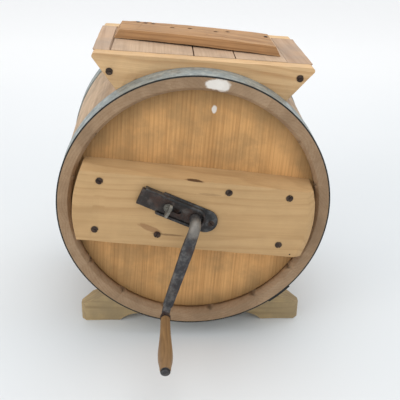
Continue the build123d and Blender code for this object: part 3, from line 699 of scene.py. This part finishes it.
def stave_finish(wood, metal):
    return timber("Stave wood", tint(wood.stave_light), tint(wood.stave_dark), tint(wood.weather),
                  ring=0.0036, ring_share=0.3, weather_share=0.7, roughness=0.68,
                  marks=[(on_end(0.0, 0.0, chime_face), end_ring, 0.0, chime_brown, 0.55),
                         (on_end(0.011, 0.158, chime_face), (0.013, 0.012, 0.0075), 0.0, residue, 0.95),
                         (on_end(0.020, 0.157, chime_face), (0.010, 0.012, 0.009), 0.0, residue, 0.9)])


# The front and rear boards are the same wood as the side boards, painted lighter: painted light for their
# shaded front faces.
def hopper_painted_light_finish(wood, metal):
    return timber("Hopper wood, painted light", paint(0.90, 0.765, 0.58), paint(0.70, 0.52, 0.34), paint(0.68, 0.57, 0.44),
                  ring=0.005, ring_share=0.4, weather_share=0.4, marks=screw_stains("hopper_screws"))


# The side boards are the same wood painted darker: painted shade for their brightly lit top rims, together
# with a pinker grey tone of their own.
def side_painted_shade_finish(wood, metal):
    return timber("Side board wood, painted shade", paint(0.76, 0.64, 0.53), paint(0.55, 0.42, 0.32),
                  paint(0.62, 0.55, 0.49), ring=0.005, ring_share=0.35, weather_share=0.6,
                  marks=screw_stains("hopper_screws"))


def lid_finish(wood, metal):
    return timber("Lid wood", paint(0.77, 0.66, 0.55), paint(0.58, 0.46, 0.36), paint(0.60, 0.52, 0.45),
                  ring=0.004, ring_share=0.16, weather_share=0.5, roughness=0.7)


def batten_finish(wood, metal):
    return timber("Batten wood", paint(0.80, 0.625, 0.44), paint(0.50, 0.345, 0.21), paint(0.60, 0.47, 0.34),
                  ring=0.0045, ring_share=0.45, weather_share=0.5,
                  marks=[(point, (0.0042, 0.0042, 0.004), 0.0, dark_hole, 0.5)
                         for point, _ in fixing_places("lid_nails")])


def foot_finish(wood, metal):
    return timber("Foot wood", paint(0.74, 0.645, 0.48), paint(0.52, 0.43, 0.30), paint(0.54, 0.48, 0.38),
                  ring=0.005, ring_share=0.4, weather_share=0.6, roughness=0.7)


def dasher_finish(wood, metal):
    return timber("Dasher wood", paint(0.80, 0.68, 0.50), paint(0.60, 0.45, 0.29), paint(0.66, 0.56, 0.42),
                  ring=0.004, ring_share=0.4)


def grip_finish(wood, metal):
    return timber("Grip wood", paint(0.58, 0.455, 0.31), paint(0.36, 0.26, 0.165), paint(0.42, 0.315, 0.21),
                  ring=0.003, ring_share=0.4, weather_share=0.4, roughness=0.45)


def crank_finish(wood, metal):
    elbow = crank_axis + Vector((0, -0.03, 0))
    collar = Vector((grip_axis.x, cad_box[0][1] + 0.102, grip_axis.z))
    return iron("Crank iron", tint(metal.iron_skin), tint(metal.iron_worn), tint(metal.rust), rust_share=0.35,
                marks=[(elbow, (0.016, 0.02, 0.020), 0.0, paint(0.55, 0.53, 0.50), 0.75),
                       (collar, (0.012, 0.010, 0.012), 0.0, paint(0.24, 0.15, 0.13), 0.7)])


def bracket_finish(wood, metal):
    return iron("Bracket iron", paint(0.20, 0.20, 0.20), paint(0.36, 0.36, 0.36), tint(metal.rust),
                rust_share=0.45)


def latch_finish(wood, metal):
    return iron("Latch iron", paint(0.22, 0.20, 0.19), paint(0.38, 0.35, 0.33), paint(0.33, 0.23, 0.19),
                rust_share=0.7)


def wing_finish(wood, metal):
    return iron("Wing screw iron", paint(0.42, 0.41, 0.38), paint(0.62, 0.60, 0.56), tint(metal.rust),
                rust_share=0.3)


def screw_finish(wood, metal):
    return iron("Screw iron", paint(0.20, 0.15, 0.12), paint(0.34, 0.27, 0.22), paint(0.30, 0.16, 0.10),
                rust_share=0.8, metallic=0.35, roughness=0.6)


def hoop_finish(wood, metal):
    return iron("Hoop zinc", tint(metal.zinc), paint(0.70, 0.72, 0.70), paint(0.40, 0.34, 0.28),
                # front_edge: painted shade, almost black, along the hoop's front edge
                rust_share=0.45, metallic=0.45, roughness=0.5, front_edge=hoop_edge)


FINISH_MAKERS = {
    "head": head_finish, "bar": bar_finish, "stave": stave_finish, "hopper": hopper_painted_light_finish,
    "side": side_painted_shade_finish, "lid": lid_finish, "batten": batten_finish, "foot": foot_finish,
    "dasher": dasher_finish, "grip": grip_finish, "crank": crank_finish, "bracket": bracket_finish,
    "latch": latch_finish, "wing": wing_finish, "screw": screw_finish, "hoop": hoop_finish,
}


# ---- operators, one for each piece or group of like pieces ----
class CHURN_OT_staves(bpy.types.Operator):
    """Make the staves of the barrel"""

    bl_idname = "churn.staves"
    bl_label = "Staves"

    def execute(self, context):
        wood = context.scene.churn_timber
        for number, name in enumerate(sorted(n for n in nodes if n.startswith("stave_"))):
            low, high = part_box(name)
            outward = (low + high) / 2 - crank_axis
            outward.y = 0
            across = outward.normalized().cross(backward)
            piece = worn_board(f"{name}_worn", name, wood.joint_edge)
            chance = random.Random(number)
            lay_grain(piece, backward, across, (chance.uniform(-0.05, 0.05), chance.uniform(0.03, 0.09)),
                      chance.uniform(-0.03, 0.03), number)
            hand_over(piece, finish_of("stave"), "barrel", "stave_wood", name)
        return {"FINISHED"}


class CHURN_OT_heads(bpy.types.Operator):
    """Make the planks of both heads"""

    bl_idname = "churn.heads"
    bl_label = "Heads"

    def execute(self, context):
        wood = context.scene.churn_timber
        piths = {"left": (0.10, 0.02), "middle": (0.09, 0.035), "right": (-0.12, 0.03)}
        for end in ("front", "rear"):
            for number, (side, pith) in enumerate(piths.items()):
                name = f"{end}_head_{side}"
                piece = worn_board(f"{name}_plank", name, wood.joint_edge)
                lay_grain(piece, rim_up, rim_right, pith, 0.012 * (number - 1), 20 + number)
                hand_over(piece, finish_of("head"), "barrel", "head_wood", name)
        return {"FINISHED"}


class CHURN_OT_hoops(bpy.types.Operator):
    """Make the two hoops with eased edges"""

    bl_idname = "churn.hoops"
    bl_label = "Hoops"

    def execute(self, context):
        for name in ("front_hoop", "rear_hoop"):
            piece = worn_board(f"{name}_band", name, 0.0004)
            hand_over(piece, finish_of("hoop"), "barrel", "hoop_steel", name)
        return {"FINISHED"}


def settled_corner(point):
    """The crossbar's top back corner has shrunk away at its right-hand end."""
    across, up = (point - crank_axis).dot(bar_right), (point - crank_axis).dot(bar_up)
    if up < 0.03 or across < 0.04:
        return Vector()
    share = (across - 0.04) / 0.1
    return bar_up * (-0.0022 * share * share)


class CHURN_OT_crossbars(bpy.types.Operator):
    """Make the crossbars with rubbed edges"""

    bl_idname = "churn.crossbars"
    bl_label = "Crossbars"

    def execute(self, context):
        wood = context.scene.churn_timber
        piece = worn_board("front_crossbar_worn", "front_crossbar", wood.rubbed_edge, wood.edge_wave,
                           bar_right, 0.008, 3, settled_corner)
        lay_grain(piece, bar_right, bar_up, (0.012, 0.034), -0.05, 31)
        hand_over(piece, finish_of("bar"), "barrel", "crossbar_wood", "front_crossbar")
        piece = worn_board("rear_crossbar_worn", "rear_crossbar", wood.rubbed_edge, wood.edge_wave, rim_right,
                           0.01, 3)
        lay_grain(piece, rim_right, rim_up, (-0.01, 0.04), 0.04, 32)
        hand_over(piece, finish_of("bar"), "barrel", "crossbar_wood", "rear_crossbar")
        return {"FINISHED"}


class CHURN_OT_hopper(bpy.types.Operator):
    """Make the four flared boards of the hopper"""

    bl_idname = "churn.hopper"
    bl_label = "Hopper"

    def execute(self, context):
        wood = context.scene.churn_timber
        for number, side in enumerate(("front", "rear", "left", "right")):
            name = f"hopper_{side}_board"
            along = rim_right if side in ("front", "rear") else backward
            across = rim_up if side in ("front", "rear") else rim_right
            piece = worn_board(f"{name}_worn", name, wood.rubbed_edge, wood.edge_wave, along, 0.011, 3)
            lay_grain(piece, along, across, (0.02 - 0.01 * number, 0.05), 0.05, 40 + number)
            # front and rear boards get the copy of the wood with painted light, side boards the copy with
            # painted shade
            wood_name = "hopper" if side in ("front", "rear") else "side"
            hand_over(piece, finish_of(wood_name), "barrel", "hopper_wood", name)
        return {"FINISHED"}


class CHURN_OT_lid(bpy.types.Operator):
    """Make the lid's planks and its slanted batten"""

    bl_idname = "churn.lid"
    bl_label = "Lid"

    def execute(self, context):
        wood = context.scene.churn_timber
        for number, side in enumerate(("left", "middle", "right")):
            name = f"lid_plank_{side}"
            piece = worn_board(f"{name}_worn", name, 0.6 * wood.rubbed_edge, 0.5 * wood.edge_wave, backward,
                               0.012)
            lay_grain(piece, backward, rim_right, (0.05, 0.03), 0.02, 50 + number)
            hand_over(piece, finish_of("lid"), "lid", "lid_wood", name)
        slant = Vector((0.207, -0.03))          # of the batten over its length: to the right, backward
        along = (rim_right * slant.x + backward * slant.y).normalized()
        piece = worn_board("lid_batten_worn", "lid_batten", wood.rubbed_edge, wood.edge_wave, along, 0.009, 3)
        lay_grain(piece, along, rim_up.cross(along), (0.01, 0.04), 0.05, 55)
        hand_over(piece, finish_of("batten"), "lid", "batten_wood", "lid_batten")
        return {"FINISHED"}


class CHURN_OT_feet(bpy.types.Operator):
    """Make the two feet"""

    bl_idname = "churn.feet"
    bl_label = "Feet"

    def execute(self, context):
        wood = context.scene.churn_timber
        for number, end in enumerate(("front", "rear")):
            name = f"{end}_foot"
            piece = worn_board(f"{name}_worn", name, wood.rubbed_edge, wood.edge_wave, sideways, 0.012, 3)
            lay_grain(piece, sideways, Vector((0, 0, 1)), (0.03, 0.03), 0.03, 60 + number)
            hand_over(piece, finish_of("foot"), "barrel", "foot_wood", name)
        return {"FINISHED"}


class CHURN_OT_bearing(bpy.types.Operator):
    """Make the crank's bracket, its latch and the wing screw, and dress the hidden bearings"""

    bl_idname = "churn.bearing"
    bl_label = "Bracket and latch"

    def execute(self, context):
        for name, finish, body, slot, size in (
            ("crank_bracket", "bracket", "barrel", "bracket_iron", 0.0005),
            ("latch_plate", "latch", "latch", "bracket_iron", 0.00045),
            ("wing_screw", "wing", "wing_screw", "crank_iron", 0.00035),
        ):
            piece = forged(f"{name}_cast", name, size, rounds=3, dents=0.0002)
            hand_over(piece, finish_of(finish), body, slot, name)
        for name in ("shaft_bush", "rear_bearing"):
            nodes[name].data.materials.clear()
            nodes[name].data.materials.append(finish_of("bracket"))
        return {"FINISHED"}


class CHURN_OT_crank(bpy.types.Operator):
    """Make the forged crank with its collar and riveted washer"""

    bl_idname = "churn.crank"
    bl_label = "Crank"

    def execute(self, context):
        piece = forged("crank_forged", "crank", 0.0006, rounds=5, dents=0.0003)
        hand_over(piece, finish_of("crank"), "crank", "crank_iron", "crank")
        for name in ("crank_collar", "grip_washer"):
            piece = worn_board(f"{name}_worn", name, 0.0004, segments=3)
            hand_over(piece, finish_of("crank"), "crank", "crank_iron", name)
        return {"FINISHED"}


class CHURN_OT_grip(bpy.types.Operator):
    """Turn the wooden grip"""

    bl_idname = "churn.grip"
    bl_label = "Grip"

    def execute(self, context):
        low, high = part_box("grip")
        length, widest = high.y - low.y, (high.x - low.x) / 2
        shares = ((0.0, 0.60), (0.012, 0.70), (0.03, 0.745), (0.06, 0.77), (0.10, 0.83), (0.16, 0.935),
                  (0.22, 0.985), (0.28, 0.995), (0.36, 0.97), (0.46, 0.90), (0.56, 0.825), (0.66, 0.765),
                  (0.76, 0.725), (0.86, 0.70), (0.93, 0.685), (0.955, 0.66), (0.965, 0.62), (0.975, 0.66),
                  (0.99, 0.665), (1.0, 0.60))
        profile = [(low.y + place * length, widest * radius) for place, radius in shares]
        bore = 0.00305
        profile = [(low.y, bore)] + profile + [(high.y, bore)]
        piece = turned("grip_turned", profile, grip_axis, context.scene.churn_timber.turns)
        soften(piece, 50.0)
        lay_grain(piece, backward, sideways, (0.012, 0.02), 0.03, 70)
        hand_over(piece, finish_of("grip"), "grip", "grip_wood", "grip")
        return {"FINISHED"}


class CHURN_OT_dasher(bpy.types.Operator):
    """Make the dasher's hub and paddles"""

    bl_idname = "churn.dasher"
    bl_label = "Dasher"

    def execute(self, context):
        for number, name in enumerate(["dasher_hub"] + [f"dasher_paddle_{n}" for n in range(1, 5)]):
            piece = worn_board(f"{name}_planed", name, 0.0008)
            lay_grain(piece, backward, sideways, (0.02, 0.05), 0.01, 80 + number)
            hand_over(piece, finish_of("dasher"), "crank", "dasher_wood", name)
        return {"FINISHED"}


class CHURN_OT_fixings(bpy.types.Operator):
    """Set the screws, nails, rivets and pegs"""

    bl_idname = "churn.fixings"
    bl_label = "Screws, nails, rivets and pegs"

    def execute(self, context):
        metal = context.scene.churn_metal
        screws, domes = slotted_screw_tree(), domed_fixing_tree()
        wood_screw = {"Head radius": metal.screw_head, "Shank radius": metal.screw_shank,
                      "Slot width": metal.slot_width}
        for number, (name, length) in enumerate((
            ("front_crossbar_screws", 0.036), ("rear_crossbar_screws", 0.036), ("hopper_screws", 0.040),
            ("foot_screws", 0.029),
        )):
            set_fixings(name, "slotted", screws, fixing_places(name), {**wood_screw, "Length": length},
                        "screw", number, "screw_iron")
        set_fixings("bracket_screws", "slotted", screws, fixing_places("bracket_screws"),
                    {"Head radius": 0.0038, "Shank radius": 0.002, "Length": 0.020}, "screw", 5, "screw_iron")

        def seats(name, height):
            return [(point - outward * height, outward) for point, outward in fixing_places(name)]

        set_fixings("lid_nails", "domed", domes, seats("lid_nails", 0.001),
                    {"Head radius": metal.nail_head}, "screw", 6, "screw_iron", "lid")
        set_fixings("hoop_rivets", "domed", domes, rivet_seats(), {
            "Head radius": metal.rivet_head, "Head height": 0.0016, "Shank radius": 0.002, "Length": 0.002},
            "hoop", 7, "hoop_steel")
        set_fixings("dasher_pins", "pegged", domes, seats("dasher_pins", 0.0), {
            "Head radius": 0.0025, "Head height": 0.0004, "Shank radius": 0.0025, "Length": 0.036},
            "dasher", 8, "dasher_wood", "crank")
        return {"FINISHED"}


def rivet_seats():
    """The rivets are wider than they are high, so their direction is taken from the crank axis."""
    seats = []
    for point, _ in fixing_places("hoop_rivets"):
        outward = point - crank_axis
        outward.y = 0
        seats.append((point, outward.normalized()))
    return seats


def area_light(name, place, aim, size, power, colour=(1.0, 1.0, 1.0)):
    lamp = bpy.data.lights.new(name, "AREA")
    lamp.shape = "DISK"
    lamp.size = size
    lamp.energy = power
    lamp.color = colour
    light = bpy.data.objects.new(name, lamp)
    light.location = place
    light.rotation_euler = (Vector(aim) - Vector(place)).to_track_quat("-Z", "Y").to_euler()
    bpy.context.scene.collection.objects.link(light)


class CHURN_OT_studio(bpy.types.Operator):
    """Lay the pale floor and set the soft lights and the camera"""

    bl_idname = "churn.studio"
    bl_label = "Studio"

    def execute(self, context):
        studio = context.scene.churn_studio
        half = studio.floor_size
        bend_start, bend_radius = 0.55 * half, 0.3 * half
        bend = [(-half, 0.0), (bend_start, 0.0)]
        bend += [(bend_start + bend_radius * sin(t), bend_radius * (1 - cos(t)))
                 for t in (pi / 2 * n / 12 for n in range(1, 13))]
        bend.append((bend[-1][0], half))
        mesh = bpy.data.meshes.new("sweep")
        points = [(side * half, y, z) for y, z in bend for side in (-1, 1)]
        faces = [(2 * n, 2 * n + 1, 2 * n + 3, 2 * n + 2) for n in range(len(bend) - 1)]
        mesh.from_pydata(points, [], faces)
        mesh.shade_smooth()
        sweep = new_piece("sweep", mesh)
        paper = Recipe("Pale paper")
        place = paper.add("ShaderNodeTexCoord", out=3)
        shade = paper.ramp(paper.cloud(place, 1.5, 2.0), ((0.3, paint(0.87, 0.885, 0.895)),
                                                          (0.7, paint(0.885, 0.895, 0.90))))
        # Painted light: the paper is mixed to pure white further back, a painted brightening of the far
        # sweep.
        far = paper.span(paper.vector("DOT_PRODUCT", place, (0.0, 1.0, 0.0), out=1), 0.2, 1.8)
        shade = paper.mix(far, shade, paint(1.0, 1.0, 1.0))
        paper.bump(paper.cloud(place, 500.0, 2.0), 0.05, 0.0002)
        mesh.materials.append(paper.finish(shade, 0.85, specular=0.2))

        world = bpy.data.worlds.new("Soft room")
        world.use_nodes = True
        sky = world.node_tree.nodes["Background"]
        sky.inputs["Color"].default_value = (0.97, 0.985, 1.0, 1.0)
        sky.inputs["Strength"].default_value = studio.sky
        context.scene.world = world
        area_light("overhead", (0.25, 0.15, 1.7), (0, 0.05, 0.2), 1.5, studio.key)
        area_light("left_fill", (-1.4, -1.1, 1.0), (0, 0, 0.2), 1.2, studio.fill, (1.0, 0.98, 0.95))

        right, back = camera_right.normalized(), camera_back.normalized()
        up = back.cross(right).normalized()
        right = up.cross(back)
        lens = bpy.data.cameras.new("camera")
        lens.lens = studio.lens
        lens.sensor_width = 36.0
        lens.clip_start = 0.01
        camera = bpy.data.objects.new("camera", lens)
        camera.matrix_world = Matrix((
            (right.x, up.x, back.x, camera_place.x),
            (right.y, up.y, back.y, camera_place.y),
            (right.z, up.z, back.z, camera_place.z),
            (0, 0, 0, 1),
        ))
        context.scene.collection.objects.link(camera)
        context.scene.camera = camera
        context.scene.view_settings.view_transform = "Standard"
        return {"FINISHED"}


class CHURN_PT_sidebar(bpy.types.Panel):
    """Lists the churn's pieces and settings"""

    bl_label = "Butter Churn"
    bl_idname = "CHURN_PT_sidebar"
    bl_space_type = "VIEW_3D"
    bl_region_type = "UI"
    bl_category = "Churn"

    def draw(self, context):
        for operator in OPERATORS:
            self.layout.operator(operator.bl_idname)
        for group in ("churn_timber", "churn_metal", "churn_studio"):
            settings = getattr(context.scene, group)
            box = self.layout.box()
            for name in settings.__annotations__:
                box.prop(settings, name)


OPERATORS = (
    CHURN_OT_staves, CHURN_OT_heads, CHURN_OT_hoops, CHURN_OT_crossbars, CHURN_OT_hopper, CHURN_OT_lid,
    CHURN_OT_feet, CHURN_OT_bearing, CHURN_OT_crank, CHURN_OT_grip, CHURN_OT_dasher, CHURN_OT_fixings,
    CHURN_OT_studio,
)
GROUPS = {"churn_timber": ChurnTimber, "churn_metal": ChurnMetal, "churn_studio": ChurnStudio}


def register():
    for group in GROUPS.values():
        bpy.utils.register_class(group)
    for name, group in GROUPS.items():
        setattr(bpy.types.Scene, name, PointerProperty(type=group))
    for operator in OPERATORS:
        bpy.utils.register_class(operator)
    bpy.utils.register_class(CHURN_PT_sidebar)


def unregister():
    bpy.utils.unregister_class(CHURN_PT_sidebar)
    for operator in reversed(OPERATORS):
        bpy.utils.unregister_class(operator)
    for name, group in GROUPS.items():
        delattr(bpy.types.Scene, name)
        bpy.utils.unregister_class(group)


def main():
    register()
    for operator in OPERATORS:
        group, name = operator.bl_idname.split(".")
        getattr(getattr(bpy.ops, group), name)()


if __name__ == "__main__":
    main()
